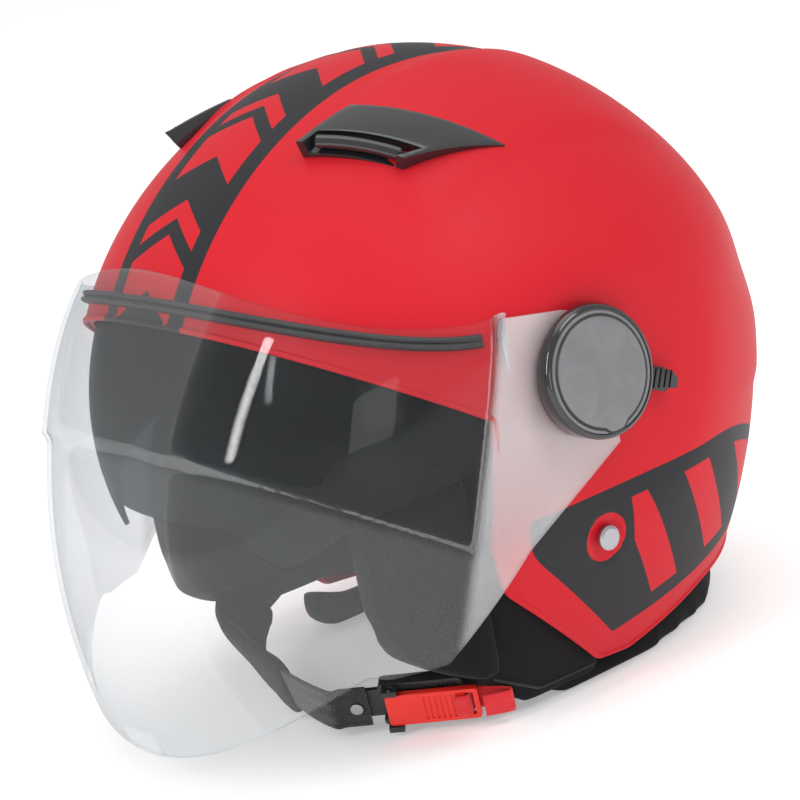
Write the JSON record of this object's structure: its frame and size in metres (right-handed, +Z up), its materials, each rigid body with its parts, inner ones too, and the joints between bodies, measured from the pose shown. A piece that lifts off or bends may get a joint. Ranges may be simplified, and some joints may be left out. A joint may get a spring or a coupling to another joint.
{
  "type": "motorcycle helmet",
  "caption": "Open-face motorcycle helmet with a lifting clear shield, drop-down sun visor, closable top vents and a ratchet chin strap.",
  "frame": {"origin": "on the surface the helmet stands on, under the centre of the whole helmet's bounding box", "axes": "+Z up, the face opening and shield look along -Y, +X is the wearer's left"},
  "size_m": [0.2652, 0.3073, 0.2508],
  "materials": {
    "shell_paint": "matte red paint with black graphics",
    "foam": "expanded foam",
    "lining": "black knitted lining",
    "webbing": "black webbing",
    "rubber": "black rubber",
    "clear": "clear polycarbonate",
    "tint": "dark tinted polycarbonate",
    "gloss_black": "gloss black plastic",
    "matte_black": "matte black plastic",
    "grey_cap": "satin grey plastic",
    "steel": "plated steel",
    "aluminium": "aluminium rivet",
    "red_plastic": "red plastic",
    "red_ribbon": "red woven ribbon"
  },
  "bodies": {
    "helmet": {"outer_shell": "shell_paint", "eps_liner": "foam", "crown_pad": "lining", "cheek_pad_left": "lining", "cheek_pad_right": "lining", "neck_roll": "lining", "brow_gasket": "rubber", "hinge_base_left": "matte_black", "hinge_base_right": "matte_black", "hinge_cover_left": "gloss_black", "hinge_cover_right": "gloss_black", "hinge_cap_left": "grey_cap", "hinge_cap_right": "grey_cap", "hinge_screw_left": "steel", "hinge_screw_right": "steel", "detent_spring_left": "steel", "detent_spring_right": "steel", "visor_pin_left": "steel", "visor_pin_right": "steel", "vent_housing_left": "gloss_black", "vent_housing_right": "gloss_black", "anchor_rivet_left": "aluminium", "anchor_rivet_right": "aluminium", "anchor_plate_left": "steel", "anchor_plate_right": "steel", "strap_left": "webbing", "strap_right": "webbing", "strap_sleeve": "lining", "buckle_body": "matte_black", "buckle_tongue": "matte_black", "buckle_pin": "steel", "tongue_rivet": "aluminium", "body_rivet": "aluminium"},
    "shield": {"face_shield": "clear"},
    "lever": {"visor_lever": "matte_black"},
    "visor": {"sun_visor": "tint"},
    "shutter_left": {"vent_shutter_left": "matte_black"},
    "shutter_right": {"vent_shutter_right": "matte_black"},
    "release": {"buckle_lever": "red_plastic", "pull_ribbon": "red_ribbon"}
  },
  "joints": [
    {"name": "shield_hinge", "type": "hinge", "parent": "helmet", "child": "shield", "pos_m": [0, 0.00785, 0.133], "axis": [-1, 0, 0], "range_deg": [0, 58]},
    {"name": "visor_lever_hinge", "type": "hinge", "parent": "helmet", "child": "lever", "pos_m": [0, 0.00785, 0.133], "axis": [1, 0, 0], "range_deg": [0, 42]},
    {"name": "sun_visor_hinge", "type": "hinge", "parent": "helmet", "child": "visor", "pos_m": [0, -0.00515, 0.116], "axis": [-1, 0, 0], "range_deg": [0, 48.7]},
    {"name": "vent_shutter_left_hinge", "type": "hinge", "parent": "helmet", "child": "shutter_left", "pos_m": [0.06125, -0.03142, 0.22693], "axis": [0.7931, 0.5421, -0.2777], "range_deg": [0, 30]},
    {"name": "vent_shutter_right_hinge", "type": "hinge", "parent": "helmet", "child": "shutter_right", "pos_m": [-0.06125, -0.03142, 0.22693], "axis": [0.7931, -0.5421, 0.2777], "range_deg": [0, 30]},
    {"name": "buckle_release_hinge", "type": "hinge", "parent": "helmet", "child": "release", "pos_m": [0.05583, -0.06627, 0.01225], "axis": [-0.2373, 0.1802, -0.9546], "range_deg": [0, 35], "stiffness_Nm_per_rad": 0.05, "springref_deg": -5.73}
  ],
  "couplings": [
    {"joint": "sun_visor_hinge", "follows": "visor_lever_hinge", "ratio": 1.159}
  ]
}
